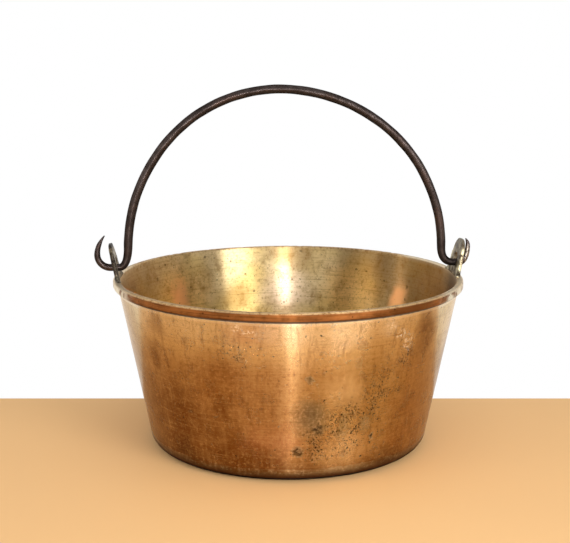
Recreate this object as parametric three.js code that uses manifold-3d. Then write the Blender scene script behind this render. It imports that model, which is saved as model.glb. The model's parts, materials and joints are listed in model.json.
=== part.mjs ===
// A cast bronze preserving pan with two upstanding ears and a forged iron bail handle.
// Millimetres, +Z up. The origin is the centre of the underside, and the ears stand on the X axis.
import * as THREE from 'three';
import { mergeVertices } from 'three/addons/utils/BufferGeometryUtils.js';
import Module from 'manifold-3d';

const wasm = await Module();
wasm.setup();

// Pan body
const PAN_HEIGHT = 144.5;
const LIP_RADIUS = 150;
const LIP_OVERHANG = 4; // how far the lip stands out past the wall
const LIP_HEIGHT = 7; // depth of the lip's outer band
const LIP_ROUND = 1.2;
const CREASE_RADIUS = 1.4; // hollow corner between the wall and the lip's underside
const MOUTH_ROUND = 1.2; // the lip's inner edge
const BASE_RADIUS = 119; // where the slope of the wall meets the plane of the base
const BASE_CORNER_RADIUS = 11;
const INNER_CORNER_RADIUS = 9;
const WALL_THICKNESS = 2.8;
const BASE_THICKNESS = 3.4;

// Ears
const EAR_THICKNESS = 3.4;
const EAR_HEIGHT = 30.4; // above the lip
const EAR_WIDTH = 36; // just above the foot
const EAR_HEAD_WIDTH = 29;
const EAR_HEAD_ROUND = 13;
const EAR_FOOT_FILLET = 5;
const EAR_FOOT_EDGE = 0.8; // height of the foot's ends, below its fillets
const TANG_WIDTH = 24; // the part of the foot that is let into the lip
const TANG_DEPTH = 2.4;
const HOLE_DIAMETER = 12;

// Bail
const PIVOT_HEIGHT = 9; // axis of the bail's ends, above the lip
const BAIL_RISE = 150.4; // middle of the bar at the crown, above the axis
const CROWN_SHIFT = -8.3; // the arch was bent a little towards the left ear
const ARCH_FOOT = 13; // height above the axis at which the arch stands upright
const BAR_DIAMETER = 7.7;
const PIVOT_DIAMETER = 6.2;
const TIP_DIAMETER = 0.9;
const SHOULDER_TAPER = 24; // length over which the bar thins towards the ear
// Ends of the bail, which was bent by hand. From the middle of an ear, inset is how far in the arch
// stands and level is how far out the hook starts. From the middle of the ear's head, hookOut is how
// far out the hook comes. The rises are above the axis: of the shoulder's bend, of the hook where it is
// farthest out, and of its inturned tip. The hook is hookDiameter thick where it is farthest out, and
// pointDiameter halfway from there to the tip.
const ENDS = {
  left: {
    inset: 10.8, shoulderReach: 8, shoulderRise: 18,
    level: 4.4, hookOut: 11.198, hookRise: 11, hookDiameter: 5.3,
    tipRise: 27.6, tipInset: 6.6, pointDiameter: 4,
  },
  right: {
    inset: 13.9, shoulderReach: 11, shoulderRise: 14.5,
    level: 2.6, hookOut: 5.598, hookRise: 15, hookDiameter: 4,
    tipRise: 20.8, tipInset: 2.2, pointDiameter: 2.8,
  },
};

// Gaps and fineness
const SEAT_GAP = 0.3;
const PAN_SIDES = 72;
const HOLE_SIDES = 32;
const BAR_SIDES = 14;
const ROUND_STEPS = 4;
const CURVE_STEPS = 8;
const SAME_POINT = 1e-6;

const LIP_UNDERSIDE = PAN_HEIGHT - LIP_HEIGHT;
const WALL_TOP_RADIUS = LIP_RADIUS - LIP_OVERHANG;
const WALL_SLOPE = (WALL_TOP_RADIUS - BASE_RADIUS) / LIP_UNDERSIDE;
const WALL_LEAN = Math.atan(WALL_SLOPE);
// An ear goes on from the wall, with its inner face in line with the wall's.
const EAR_RADIUS = innerWallRadius(PAN_HEIGHT) + EAR_THICKNESS / 2 / Math.cos(WALL_LEAN);
const PIVOT_RADIUS = EAR_RADIUS + PIVOT_HEIGHT * WALL_SLOPE;
const PIVOT_Z = PAN_HEIGHT + PIVOT_HEIGHT;
const EAR_HEAD_RADIUS = EAR_RADIUS + EAR_HEIGHT * WALL_SLOPE;

const bronze = new THREE.MeshStandardMaterial({ color: 0xb27c41, roughness: 0.34, metalness: 1 });
const earBronze = new THREE.MeshStandardMaterial({ color: 0x83745c, roughness: 0.5, metalness: 1 });
const forgedIron = new THREE.MeshStandardMaterial({ color: 0x3b302a, roughness: 0.6, metalness: 0.7 });

function innerWallRadius(height) {
  return BASE_RADIUS + WALL_SLOPE * height - WALL_THICKNESS / Math.cos(WALL_LEAN);
}

// Points of an outline given by its corners, each [x, y] or [x, y, radius to round it by].
function roundedOutline(corners) {
  const at = (i) => new THREE.Vector2(...corners[(i + corners.length) % corners.length].slice(0, 2));
  return corners.flatMap(([, , radius = 0], i) => {
    const corner = at(i);
    if (radius === 0) return [corner];
    const back = at(i - 1).sub(corner).normalize();
    const ahead = at(i + 1).sub(corner).normalize();
    const halfAngle = Math.acos(back.dot(ahead)) / 2;
    const turn = Math.sign(ahead.cross(back));
    const inward = back.clone().add(ahead).normalize();
    const middle = inward.multiplyScalar(radius / Math.sin(halfAngle)).add(corner);
    const start = back.clone().multiplyScalar(radius / Math.tan(halfAngle)).add(corner).sub(middle);
    const points = [];
    for (let step = 0; step <= ROUND_STEPS; step += 1) {
      const angle = (turn * (Math.PI - 2 * halfAngle) * step) / ROUND_STEPS;
      points.push(start.clone().rotateAround(new THREE.Vector2(), angle).add(middle));
    }
    return points;
  });
}

// A closed solid for joining and cutting, from a geometry whose faces share their corners.
function solidOf(geometry) {
  const bare = geometry.clone();
  bare.deleteAttribute('normal');
  bare.deleteAttribute('uv');
  const merged = mergeVertices(bare);
  const corners = merged.index.array;
  const triangles = [];
  for (let i = 0; i < corners.length; i += 3) {
    const [a, b, c] = corners.slice(i, i + 3);
    if (a !== b && b !== c && c !== a) triangles.push(a, b, c);
  }
  const vertProperties = new Float32Array(merged.attributes.position.array);
  const triVerts = new Uint32Array(triangles);
  return new wasm.Manifold(new wasm.Mesh({ numProp: 3, vertProperties, triVerts }));
}

function geometryOf(solid) {
  const { vertProperties, triVerts } = solid.getMesh();
  const geometry = new THREE.BufferGeometry();
  geometry.setAttribute('position', new THREE.BufferAttribute(vertProperties, 3));
  geometry.setIndex(new THREE.BufferAttribute(triVerts, 1));
  geometry.computeVertexNormals();
  return geometry;
}

function named(name, geometry, material) {
  const mesh = new THREE.Mesh(geometry, material);
  mesh.name = name;
  return mesh;
}

// The pan's bowl, turned from its section: base, sloping wall, overhanging lip and inside.
function panBowl() {
  const section = roundedOutline([
    [0, 0],
    [BASE_RADIUS, 0, BASE_CORNER_RADIUS],
    [WALL_TOP_RADIUS, LIP_UNDERSIDE, CREASE_RADIUS],
    [LIP_RADIUS, LIP_UNDERSIDE, LIP_ROUND],
    [LIP_RADIUS, PAN_HEIGHT, LIP_ROUND],
    [innerWallRadius(PAN_HEIGHT), PAN_HEIGHT, MOUTH_ROUND],
    [innerWallRadius(BASE_THICKNESS), BASE_THICKNESS, INNER_CORNER_RADIUS],
    [0, BASE_THICKNESS],
  ]);
  return new THREE.LatheGeometry(section, PAN_SIDES).rotateX(Math.PI / 2);
}

// Places of the two ears: each frame has its origin on the lip's top, X outwards and Z up.
function earPlace(side) {
  const turn = side === 'right' ? 0 : Math.PI;
  return new THREE.Matrix4().makeRotationZ(turn).multiply(
    new THREE.Matrix4().makeTranslation(EAR_RADIUS, 0, PAN_HEIGHT),
  );
}

// The seat for an ear's tang: a rebate in the lip, open to the inside of the pan.
function tangSeat() {
  const depth = TANG_DEPTH + SEAT_GAP;
  const outward = EAR_THICKNESS / 2 + SEAT_GAP;
  const inward = EAR_THICKNESS;
  return new THREE.BoxGeometry(outward + inward, TANG_WIDTH + 2 * SEAT_GAP, 2 * depth)
    .translate((outward - inward) / 2, 0, 0)
    .rotateY(WALL_LEAN);
}

function panBody() {
  let body = solidOf(panBowl());
  for (const side of ['left', 'right']) {
    body = body.subtract(solidOf(tangSeat().applyMatrix4(earPlace(side))));
  }
  return named('pan_body', geometryOf(body), bronze);
}

// An ear in its own frame: a rounded tongue with a filleted foot, a tang below and a hole for the bail.
function ear(side) {
  const footHalf = EAR_WIDTH / 2 + EAR_FOOT_FILLET;
  // The foot leans with the wall, so its lower edge is what clears the lip.
  const footBottom = (SEAT_GAP + (EAR_THICKNESS / 2) * Math.sin(WALL_LEAN)) / Math.cos(WALL_LEAN);
  const footTop = footBottom + EAR_FOOT_EDGE;
  const rightHalf = [
    [TANG_WIDTH / 2, -TANG_DEPTH],
    [TANG_WIDTH / 2, footBottom],
    [footHalf, footBottom],
    [footHalf, footTop],
    [EAR_WIDTH / 2, footTop, EAR_FOOT_FILLET],
    [EAR_HEAD_WIDTH / 2, EAR_HEIGHT, EAR_HEAD_ROUND],
  ];
  const leftHalf = rightHalf.map(([x, y, radius]) => [-x, y, radius]).reverse();
  const outline = new THREE.Shape(roundedOutline([...rightHalf, ...leftHalf]));
  const plate = new THREE.ExtrudeGeometry(outline, { depth: EAR_THICKNESS, bevelEnabled: false });
  const alongY = new THREE.Vector3(0, 1, 0);
  const alongZ = new THREE.Vector3(0, 0, 1);
  const outward = new THREE.Vector3(1, 0, 0);
  plate.translate(0, 0, -EAR_THICKNESS / 2);
  plate.applyMatrix4(new THREE.Matrix4().makeBasis(alongY, alongZ, outward));
  plate.rotateY(WALL_LEAN);

  // The bar lies in the bottom of the hole.
  const holeHeight = PIVOT_HEIGHT + (HOLE_DIAMETER - PIVOT_DIAMETER) / 2 - SEAT_GAP;
  const throughAll = 2 * EAR_HEIGHT;
  const hole = new THREE.CylinderGeometry(HOLE_DIAMETER / 2, HOLE_DIAMETER / 2, throughAll, HOLE_SIDES)
    .rotateZ(Math.PI / 2)
    .translate(0, 0, holeHeight);
  const mesh = named(`ear_${side}`, geometryOf(solidOf(plate).subtract(solidOf(hole))), earBronze);
  mesh.applyMatrix4(earPlace(side));
  return mesh;
}

// Where one half of the bail bends, as distances from the pan's axis.
function bailBends({ inset, shoulderReach, level, hookOut }) {
  const arm = PIVOT_RADIUS - inset;
  const levelStart = arm + shoulderReach;
  const hookStart = PIVOT_RADIUS + level;
  return { arm, levelStart, hookStart, outermost: EAR_HEAD_RADIUS + hookOut };
}

// Half of the bail's centre line, from the crown to the point of a hook, with the axis at height 0.
function bailHalf(end, crownX) {
  const { arm, levelStart, hookStart, outermost } = bailBends(end);
  const { shoulderRise, hookRise, tipRise, tipInset } = end;
  const archReach = arm - crownX;
  const hookReach = outermost - hookStart;
  const archRise = BAIL_RISE - ARCH_FOOT;
  const archEnd = Math.asin((shoulderRise - ARCH_FOOT) / archRise);
  const archFoot = new THREE.Vector2(crownX + archReach * Math.cos(archEnd), shoulderRise);
  // The shoulder goes on in the direction that the arch has at its foot.
  const shoulderCorner = archFoot.x + (shoulderRise * archReach * Math.tan(archEnd)) / archRise;
  const quarter = Math.PI / 2;
  const line = new THREE.CurvePath();
  line.add(new THREE.EllipseCurve(crownX, ARCH_FOOT, archReach, archRise, quarter, archEnd, true));
  line.add(new THREE.QuadraticBezierCurve(
    archFoot,
    new THREE.Vector2(shoulderCorner, 0),
    new THREE.Vector2(levelStart, 0),
  ));
  line.add(new THREE.LineCurve(
    new THREE.Vector2(levelStart, 0),
    new THREE.Vector2(hookStart, 0),
  ));
  line.add(new THREE.EllipseCurve(hookStart, hookRise, hookReach, hookRise, 3 * quarter, 4 * quarter));
  line.add(new THREE.QuadraticBezierCurve(
    new THREE.Vector2(outermost, hookRise),
    new THREE.Vector2(outermost, (hookRise + tipRise) / 2),
    new THREE.Vector2(outermost - tipInset, tipRise),
  ));
  const points = line.getPoints(CURVE_STEPS);
  return points.filter((point, i) => i === 0 || point.distanceTo(points[i - 1]) > SAME_POINT);
}

// Radius of the bar at each point of a half: full in the arch, thinner in the ear, pointed at the tip.
function barRadii(points, end) {
  const { levelStart, hookStart, outermost } = bailBends(end);
  const along = [0];
  for (let i = 1; i < points.length; i += 1) {
    along.push(along[i - 1] + points[i].distanceTo(points[i - 1]));
  }
  const distanceTo = (x) => along[points.findIndex((point) => point.x > x - SAME_POINT)];
  const thinFrom = distanceTo(levelStart);
  const farthest = distanceTo(outermost);
  const tip = along.at(-1);
  const stations = [
    thinFrom - SHOULDER_TAPER, thinFrom, distanceTo(hookStart), farthest, (farthest + tip) / 2, tip,
  ];
  const diameters = [
    BAR_DIAMETER, PIVOT_DIAMETER, PIVOT_DIAMETER, end.hookDiameter, end.pointDiameter, TIP_DIAMETER,
  ];
  const diameterAt = new THREE.LinearInterpolant(stations, diameters, 1);
  return along.map((distance) => diameterAt.evaluate(distance)[0] / 2);
}

// A round bar along a line in the XZ plane, closed at both ends.
function barGeometry(points, radii) {
  const last = points.length - 1;
  const positions = [];
  const faces = [];
  points.forEach((point, i) => {
    const tangent = points[Math.min(i + 1, last)].clone().sub(points[Math.max(i - 1, 0)]).normalize();
    for (let side = 0; side < BAR_SIDES; side += 1) {
      const angle = (2 * Math.PI * side) / BAR_SIDES;
      const across = radii[i] * Math.cos(angle);
      const y = radii[i] * Math.sin(angle);
      positions.push(point.x - tangent.y * across, y, point.y + tangent.x * across);
      const next = (side + 1) % BAR_SIDES;
      const here = i * BAR_SIDES;
      const ahead = here + BAR_SIDES;
      if (i < last) {
        faces.push(here + side, ahead + side, ahead + next, here + side, ahead + next, here + next);
      }
    }
  });
  const startCentre = positions.length / 3;
  const endCentre = startCentre + 1;
  positions.push(points[0].x, 0, points[0].y, points[last].x, 0, points[last].y);
  for (let side = 0; side < BAR_SIDES; side += 1) {
    const next = (side + 1) % BAR_SIDES;
    faces.push(startCentre, side, next, endCentre, last * BAR_SIDES + next, last * BAR_SIDES + side);
  }
  const geometry = new THREE.BufferGeometry();
  geometry.setAttribute('position', new THREE.Float32BufferAttribute(positions, 3));
  geometry.setIndex(faces);
  geometry.computeVertexNormals();
  return geometry;
}

// The bail: one bar, arched over the pan, bent out through the ears and hooked up to a point outside.
function bail() {
  const right = bailHalf(ENDS.right, CROWN_SHIFT);
  const left = bailHalf(ENDS.left, -CROWN_SHIFT);
  const leftToCrown = left.slice(1).map((point) => new THREE.Vector2(-point.x, point.y)).reverse();
  const leftRadii = barRadii(left, ENDS.left).slice(1).reverse();
  const rightRadii = barRadii(right, ENDS.right);
  const geometry = barGeometry([...leftToCrown, ...right], [...leftRadii, ...rightRadii]);
  const mesh = named('bail', geometry, forgedIron);
  mesh.position.z = PIVOT_Z;
  return mesh;
}

const pan = new THREE.Group();
pan.add(panBody(), ear('left'), ear('right'), bail());

export default pan;
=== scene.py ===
# A bronze preserving pan with two ears and an iron bail: fine meshes and finishes on the fixed frame.
# Metres, +Z up. The origin is the centre of the underside, and the ears stand on the X axis.
import json
import math
import random
import bpy
import numpy as np
from mathutils import Matrix, Vector, noise

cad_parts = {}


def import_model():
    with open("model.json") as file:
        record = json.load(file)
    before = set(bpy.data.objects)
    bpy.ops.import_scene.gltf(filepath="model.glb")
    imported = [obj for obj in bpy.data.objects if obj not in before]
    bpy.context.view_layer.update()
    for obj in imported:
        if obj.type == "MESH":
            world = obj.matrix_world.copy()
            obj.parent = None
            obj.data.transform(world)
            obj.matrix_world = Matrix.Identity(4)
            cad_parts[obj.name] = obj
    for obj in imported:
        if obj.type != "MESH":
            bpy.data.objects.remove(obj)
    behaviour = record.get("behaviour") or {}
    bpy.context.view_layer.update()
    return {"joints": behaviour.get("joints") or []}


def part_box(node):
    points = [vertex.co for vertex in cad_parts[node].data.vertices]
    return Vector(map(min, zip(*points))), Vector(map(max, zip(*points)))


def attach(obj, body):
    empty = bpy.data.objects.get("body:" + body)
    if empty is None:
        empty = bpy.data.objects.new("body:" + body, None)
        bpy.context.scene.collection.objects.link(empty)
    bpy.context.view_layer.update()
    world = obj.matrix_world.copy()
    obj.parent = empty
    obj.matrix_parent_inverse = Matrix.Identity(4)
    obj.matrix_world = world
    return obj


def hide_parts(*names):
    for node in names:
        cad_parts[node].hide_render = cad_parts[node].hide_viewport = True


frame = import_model()
MM = 0.001

# Pan
LIP_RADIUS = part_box("pan_body")[1].x
PAN_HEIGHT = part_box("pan_body")[1].z
LIP_OVERHANG = 4 * MM
LIP_HEIGHT = 7 * MM
LIP_TOP_ROUND = 1.5 * MM
LIP_LOWER_ROUND = 2.0 * MM
CREASE_RADIUS = 1.0 * MM
MOUTH_ROUND = 1.4 * MM
BASE_RADIUS = 119 * MM  # where the slope of the wall meets the plane of the base
BASE_CORNER_RADIUS = 11 * MM
INNER_CORNER_RADIUS = 9 * MM
WALL_THICKNESS = 2.8 * MM
BASE_THICKNESS = 3.4 * MM
PAN_SEGMENTS = 600
RUN_STEP = 3 * MM  # spacing of the rings on straight stretches of the section
ARC_STEP = 1 * MM  # and round its corners
LEAST_ARC_STEPS = 6

# Ears
EAR_THICKNESS = 3.4 * MM
EAR_HEIGHT = 30.4 * MM
EAR_WIDTH = 36 * MM
EAR_HEAD_WIDTH = 29 * MM
EAR_HEAD_ROUND = 13 * MM
EAR_FOOT_FILLET = 5 * MM
EAR_FOOT_EDGE = 0.8 * MM
EAR_EDGE_ROUND = 1.1 * MM
HOLE_RADIUS = 6 * MM
SEAT_GAP = 0.3 * MM

# Bail
PIVOT_Z = frame["joints"][0]["pos_m"][2]
BAIL_RISE = 150.4 * MM
CROWN_SHIFT = -8.3 * MM
ARCH_FOOT = 13 * MM  # height above the axis at which the arch stands upright
BAR_DIAMETER = 7.7 * MM
PIVOT_DIAMETER = 6.2 * MM
TIP_DIAMETER = 0.9 * MM
SHOULDER_TAPER = 24 * MM
BAR_STEP = 1.2 * MM
BAR_SIDES = 32
# In mm from the middle of an ear: how far in the arch stands and how far out the hook starts. The
# rises are above the axis: of the shoulder's bend, of the hook where it is farthest out, of its tip.
ENDS = {
    "left": {
        "inset": 10.8, "shoulder_reach": 8, "shoulder_rise": 18, "level": 4.4,
        "hook_reach": 11, "hook_rise": 11, "hook_diameter": 5.3,
        "tip_rise": 27.6, "tip_inset": 6.6, "point_diameter": 4,
    },
    "right": {
        "inset": 13.9, "shoulder_reach": 11, "shoulder_rise": 14.5, "level": 2.6,
        "hook_reach": 7.2, "hook_rise": 15, "hook_diameter": 4,
        "tip_rise": 20.8, "tip_inset": 2.2, "point_diameter": 2.8,
    },
}

LIP_UNDERSIDE = PAN_HEIGHT - LIP_HEIGHT
WALL_TOP_RADIUS = LIP_RADIUS - LIP_OVERHANG
WALL_SLOPE = (WALL_TOP_RADIUS - BASE_RADIUS) / LIP_UNDERSIDE
WALL_LEAN = math.atan(WALL_SLOPE)


def inner_wall_radius(height):
    return BASE_RADIUS + WALL_SLOPE * height - WALL_THICKNESS / math.cos(WALL_LEAN)


EAR_RADIUS = inner_wall_radius(PAN_HEIGHT) + EAR_THICKNESS / 2 / math.cos(WALL_LEAN)
PIVOT_RADIUS = EAR_RADIUS + (PIVOT_Z - PAN_HEIGHT) * WALL_SLOPE


# Objects and meshes
def linked(name, data):
    """A new object of the scene."""
    made = bpy.data.objects.new(name, data)
    bpy.context.scene.collection.objects.link(made)
    return made


def mesh_object(name, vertices, faces):
    mesh = bpy.data.meshes.new(name)
    mesh.from_pydata([tuple(v) for v in vertices], [], faces)
    mesh.shade_smooth()
    return linked(name, mesh)


def set_attribute(piece, name, values):
    attribute = piece.data.attributes.new(name, "FLOAT", "POINT")
    attribute.data.foreach_set("value", np.asarray(values, np.float32))


def smoothstep(low, high, value):
    t = np.clip((value - low) / (high - low), 0, 1)
    return t * t * (3 - 2 * t)


def bell(value, width):
    return np.exp(-((value / width) ** 2))


def tube_faces(rings, sides):
    """Faces between consecutive rings of points."""
    faces = []
    for i in range(rings - 1):
        here, there = i * sides, (i + 1) * sides
        for k in range(sides):
            n = (k + 1) % sides
            faces.append((here + k, here + n, there + n, there + k))
    return faces


def bar_faces(rings, sides):
    """Faces between consecutive rings of points, and over both ends."""
    last = (rings - 1) * sides
    ends = [tuple(reversed(range(sides))), tuple(range(last, last + sides))]
    return ends + tube_faces(rings, sides)


def rounded_outline(corners):
    """Points of an open outline from corners (x, y, radius), its straight runs cut into short steps."""
    points = [np.array(corners[0][:2])]
    for before, (x, y, radius), after in zip(corners, corners[1:], corners[2:]):
        corner = np.array((x, y))
        back = np.array(before[:2]) - corner
        ahead = np.array(after[:2]) - corner
        back /= np.linalg.norm(back)
        ahead /= np.linalg.norm(ahead)
        half = math.acos(np.clip(back @ ahead, -1, 1)) / 2
        inward = (back + ahead) / np.linalg.norm(back + ahead)
        middle = corner + inward * radius / math.sin(half)
        start = corner + back * radius / math.tan(half) - middle
        turn = math.copysign(math.pi - 2 * half, ahead[0] * back[1] - ahead[1] * back[0])
        steps = max(LEAST_ARC_STEPS, math.ceil(abs(turn) * radius / ARC_STEP))
        add_run(points, middle + start)
        for step in range(1, steps + 1):
            a = turn * step / steps
            spin = np.array(((math.cos(a), -math.sin(a)), (math.sin(a), math.cos(a))))
            points.append(middle + spin @ start)
    add_run(points, np.array(corners[-1][:2]))
    return np.array(points)


def add_run(points, end):
    start = points[-1]
    steps = max(1, math.ceil(np.linalg.norm(end - start) / RUN_STEP))
    points.extend(start + (end - start) * k / steps for k in range(1, steps + 1))


# Pan piece
OUT_OF_ROUND = 0.5 * MM
OVAL_PHASE = 1  # radians
WAVE = 0.22 * MM
WAVE_SCALE = 16
RIPPLE = 0.06 * MM
RIPPLE_SCALE = 55
TRUE_BELOW = 25 * MM  # the waves die out towards the base
LIP_UNEVEN = 0.3 * MM
LIP_UNEVEN_SCALE = 30
LIP_UNEVEN_LEVEL = 3  # level of the noise that it is taken from
LIP_UNEVEN_FADE = 1 * MM  # it sets in over this height below and above the lip's underside
NICKS = 46
NICK_SEED = 7
NICK_REACH = 2.2 * MM
NICK_HALF_WIDTHS = (0.7 * MM, 2.2 * MM)
NICK_DEPTHS = (0.15 * MM, 0.5 * MM)
FOOT_LINE_HEIGHT = 5.0 * MM  # a shallow turned line low on the base's corner
FOOT_LINE_WIDTH = 1.0 * MM
FOOT_LINE_DEPTH = 0.3 * MM
LIP_ZONE = (1.5 * MM, 3 * MM)  # out from the wall's top, where the lip's finish sets in and is full
LIP_TOP_ZONE = (1.5 * MM, 0.3 * MM)  # down from the lip's top, the same for its worn top, paler partly as painted reflection


def pan_section():
    """The pan's section as (radius, height), from the middle of the underside to that of the inside."""
    return rounded_outline([
        (0, 0),
        (BASE_RADIUS, 0, BASE_CORNER_RADIUS),
        (WALL_TOP_RADIUS, LIP_UNDERSIDE, CREASE_RADIUS),
        (LIP_RADIUS, LIP_UNDERSIDE, LIP_LOWER_ROUND),
        (LIP_RADIUS, PAN_HEIGHT, LIP_TOP_ROUND),
        (inner_wall_radius(PAN_HEIGHT), PAN_HEIGHT, MOUTH_ROUND),
        (inner_wall_radius(BASE_THICKNESS), BASE_THICKNESS, INNER_CORNER_RADIUS),
        (0, BASE_THICKNESS),
    ])


def section_normals(section):
    ahead = np.roll(section, -1, axis=0) - np.roll(section, 1, axis=0)
    ahead[0], ahead[-1] = (1, 0), (-1, 0)
    normals = np.stack((ahead[:, 1], -ahead[:, 0]), axis=1)
    return normals / np.linalg.norm(normals, axis=1)[:, None]


def section_zones(section):
    """Zones of the finish, from 0 to 1 at each point of the section."""
    r, z = section[:, 0], section[:, 1]
    middle_wall = np.array([inner_wall_radius(h) for h in z]) + WALL_THICKNESS / 2
    past_lip = np.arange(len(section)) > np.argmax(r + z)
    inside = past_lip & (r < middle_wall)
    return {
        "inside": inside.astype(float),
        "lip": smoothstep(*(WALL_TOP_RADIUS + out for out in LIP_ZONE), r),
        "lip_top": smoothstep(*(PAN_HEIGHT - down for down in LIP_TOP_ZONE), z),
    }


def lip_nicks():
    """Small losses along the lip's upper edge: (angle, half width, depth) each."""
    draw = random.Random(NICK_SEED)
    return [
        (draw.uniform(0, 2 * math.pi), draw.uniform(*NICK_HALF_WIDTHS), draw.uniform(*NICK_DEPTHS))
        for _ in range(NICKS)
    ]


def worked_surface(section, normals, angles):
    """Offsets along the section's normals, by ring and angle, that take the pan out of true."""
    radius, height = section[:, 0], section[:, 1]
    off_floor = smoothstep(0, TRUE_BELOW, height)
    near_edge = bell(np.hypot(radius - LIP_RADIUS, height - PAN_HEIGHT), NICK_REACH)
    band = smoothstep(LIP_UNDERSIDE - LIP_UNEVEN_FADE, LIP_UNDERSIDE + LIP_UNEVEN_FADE, height)
    band = band * (radius > WALL_TOP_RADIUS)
    outside = (radius > BASE_RADIUS - BASE_CORNER_RADIUS) & (normals[:, 0] > 0)
    line = bell(height - FOOT_LINE_HEIGHT, FOOT_LINE_WIDTH) * FOOT_LINE_DEPTH * outside
    offsets = np.zeros((len(section), len(angles)))
    for j, a in enumerate(angles):
        c, s = math.cos(a), math.sin(a)
        for i, (r, z) in enumerate(section):
            place = Vector((r * c, r * s, z))
            wave = noise.noise(place * WAVE_SCALE) * WAVE + noise.noise(place * RIPPLE_SCALE) * RIPPLE
            offsets[i, j] = wave * off_floor[i] - line[i]
        rim_place = Vector((c, s, LIP_UNEVEN_LEVEL)) * LIP_RADIUS
        uneven = noise.noise(rim_place * LIP_UNEVEN_SCALE) * LIP_UNEVEN
        offsets[:, j] += band * uneven * np.abs(normals[:, 0])
    for a, half_width, depth in lip_nicks():
        away = np.abs((angles - a + math.pi) % (2 * math.pi) - math.pi) * LIP_RADIUS
        offsets -= np.outer(near_edge, bell(away, half_width)) * depth
    return offsets


def pan_piece():
    section = pan_section()
    normals = section_normals(section)
    angles = np.arange(PAN_SEGMENTS) * 2 * math.pi / PAN_SEGMENTS
    offsets = worked_surface(section, normals, angles)
    rings = range(1, len(section) - 1)
    vertices = []
    for i in rings:
        r = section[i, 0] + normals[i, 0] * offsets[i]
        z = section[i, 1] + normals[i, 1] * offsets[i]
        r = r + OUT_OF_ROUND * np.cos(2 * angles + OVAL_PHASE) * section[i, 1] / PAN_HEIGHT
        vertices.extend(zip(r * np.cos(angles), r * np.sin(angles), z))
    faces = tube_faces(len(rings), PAN_SEGMENTS)
    below, inside = len(vertices), len(vertices) + 1
    vertices += [(0, 0, section[0, 1]), (0, 0, section[-1, 1])]
    last = (len(rings) - 1) * PAN_SEGMENTS
    for j in range(PAN_SEGMENTS):
        n = (j + 1) % PAN_SEGMENTS
        faces.append((below, n, j))
        faces.append((inside, last + j, last + n))
    piece = mesh_object("pan", vertices, faces)
    for name, values in section_zones(section).items():
        ends = [values[0], values[-1]]
        set_attribute(piece, name, np.concatenate((np.repeat(values[1:-1], PAN_SEGMENTS), ends)))
    return piece


# Ear pieces
EAR_ROOT = 4 * MM  # how far the ear goes down into the lip
EAR_SLICES = 90
EAR_TOP_SHORT = EAR_EDGE_ROUND / 8  # the last slice lies this far under the top
EAR_CORNER_STEPS = 6
EAR_VOXEL = 0.4 * MM
EAR_SOFTENING = (0.5, 6)  # strength and rounds
HOLE_SIDES = 64
HOLE_CUTTER_REACH = 12 * MM
FOOT_BEND_HEIGHT = 9 * MM  # the foot follows the round of the lip, and the head is flat
FOOT_FLARE = 1.5 * MM  # extra thickness outside, where the ear meets the lip
FOOT_FLARE_HEIGHT = 2.6 * MM
HEAD_THINNING = 0.35  # share of the thickness lost at the top
HEAD_THINS_FROM = 0.55  # share of the height
ROOT_TUCK = 0.6 * MM  # the root draws back from the face of the wall
ROOT_TUCK_DEPTH = 2.5 * MM
EAR_WOBBLE = 0.18 * MM
EAR_WOBBLE_SCALE = 170
EAR_SEEDS = {"left": 0, "right": 9}


def ear_half_width(height):
    """Half the ear's width at a height above the lip: filleted foot, tapering sides and round head."""
    fillet_top = EAR_FOOT_EDGE + EAR_FOOT_FILLET
    if height < EAR_FOOT_EDGE:
        return EAR_WIDTH / 2 + EAR_FOOT_FILLET
    side = EAR_WIDTH / 2 + (EAR_HEAD_WIDTH - EAR_WIDTH) / 2 * height / EAR_HEIGHT
    if height < fillet_top:
        side += EAR_FOOT_FILLET - math.sqrt(EAR_FOOT_FILLET**2 - (fillet_top - height) ** 2)
    shoulder = EAR_HEIGHT - EAR_HEAD_ROUND
    if height > shoulder:
        drop = math.sqrt(max(0, EAR_HEAD_ROUND**2 - (height - shoulder) ** 2))
        side = min(side, EAR_HEAD_WIDTH / 2 - EAR_HEAD_ROUND + drop)
    return side


def ear_slice(height):
    """One level slice of the ear, a bar across Y with rounded corners."""
    half = ear_half_width(height)
    face = EAR_THICKNESS / 2
    points = []
    for x, y, quarter in ((1, 1, 0), (-1, 1, 1), (-1, -1, 2), (1, -1, 3)):
        centre = x * (face - EAR_EDGE_ROUND), y * (half - EAR_EDGE_ROUND)
        for step in range(EAR_CORNER_STEPS + 1):
            a = (quarter + step / EAR_CORNER_STEPS) * math.pi / 2
            across = centre[0] + EAR_EDGE_ROUND * math.cos(a)
            points.append((across, centre[1] + EAR_EDGE_ROUND * math.sin(a), height))
    return points


def hole_cutter():
    """The worn hole of an ear, as a round bar along X. The bail lies in its bottom."""
    height = (PIVOT_Z - PAN_HEIGHT) + HOLE_RADIUS - PIVOT_DIAMETER / 2 - SEAT_GAP
    vertices = []
    for x in (-HOLE_CUTTER_REACH, HOLE_CUTTER_REACH):
        for k in range(HOLE_SIDES):
            a = 2 * math.pi * k / HOLE_SIDES
            vertices.append((x, HOLE_RADIUS * math.cos(a), height + HOLE_RADIUS * math.sin(a)))
    return mesh_object("hole_cutter", vertices, bar_faces(2, HOLE_SIDES))


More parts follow.
